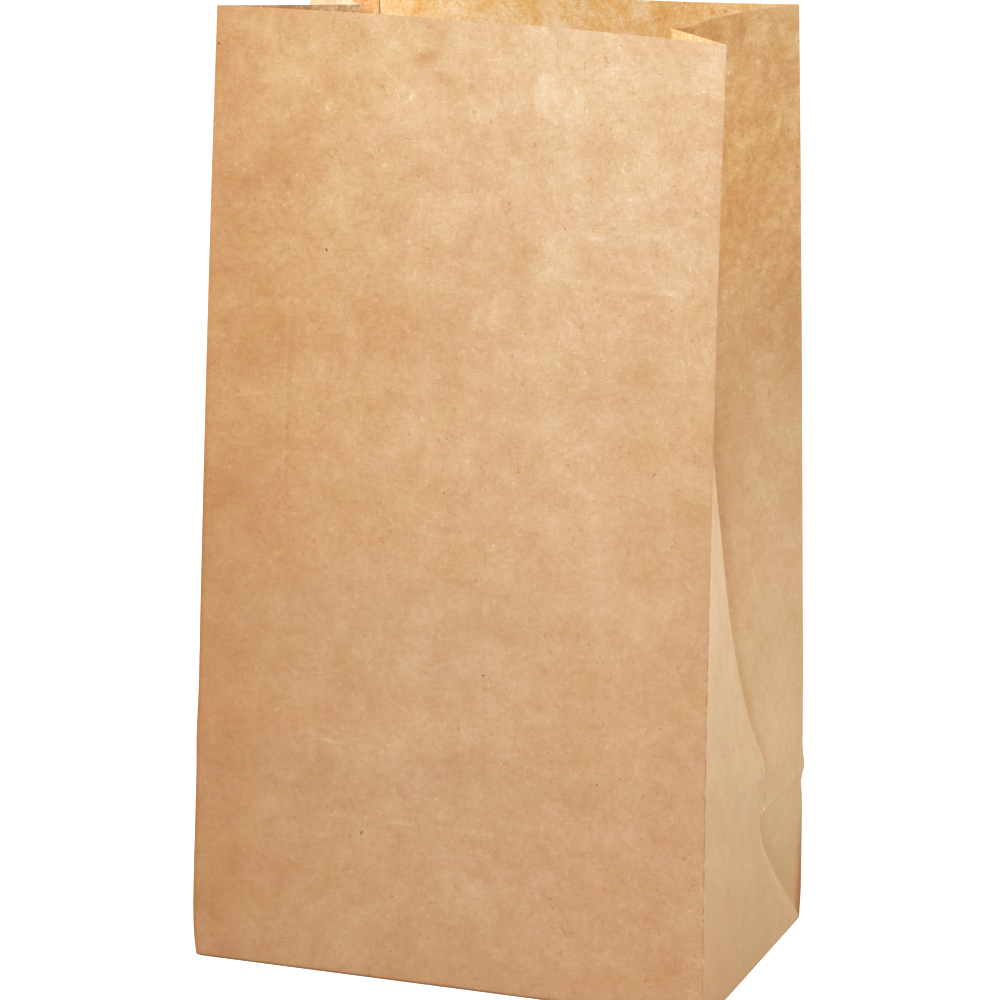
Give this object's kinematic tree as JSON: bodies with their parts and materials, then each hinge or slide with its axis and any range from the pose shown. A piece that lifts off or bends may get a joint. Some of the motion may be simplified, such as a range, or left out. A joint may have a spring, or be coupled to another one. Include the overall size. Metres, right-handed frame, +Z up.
{
  "type": "paper lunch bag",
  "caption": "Brown kraft paper lunch bag with side gussets and a block bottom, standing open, with a straight cut mouth and a glued lap seam up its back.",
  "frame": {"origin": "middle of the flat underside, at the height of the outermost bottom flap", "axes": "+Z up from the bottom to the open mouth, -Y out of the front panel, +X to the right of someone who faces the front panel"},
  "size_m": [0.1561, 0.0938, 0.2705],
  "materials": {
    "kraft_paper": "unbleached brown kraft paper, matt, lightly fibrous"
  },
  "bodies": {
    "root": {"paper_bag": "kraft_paper"}
  },
  "joints": []
}
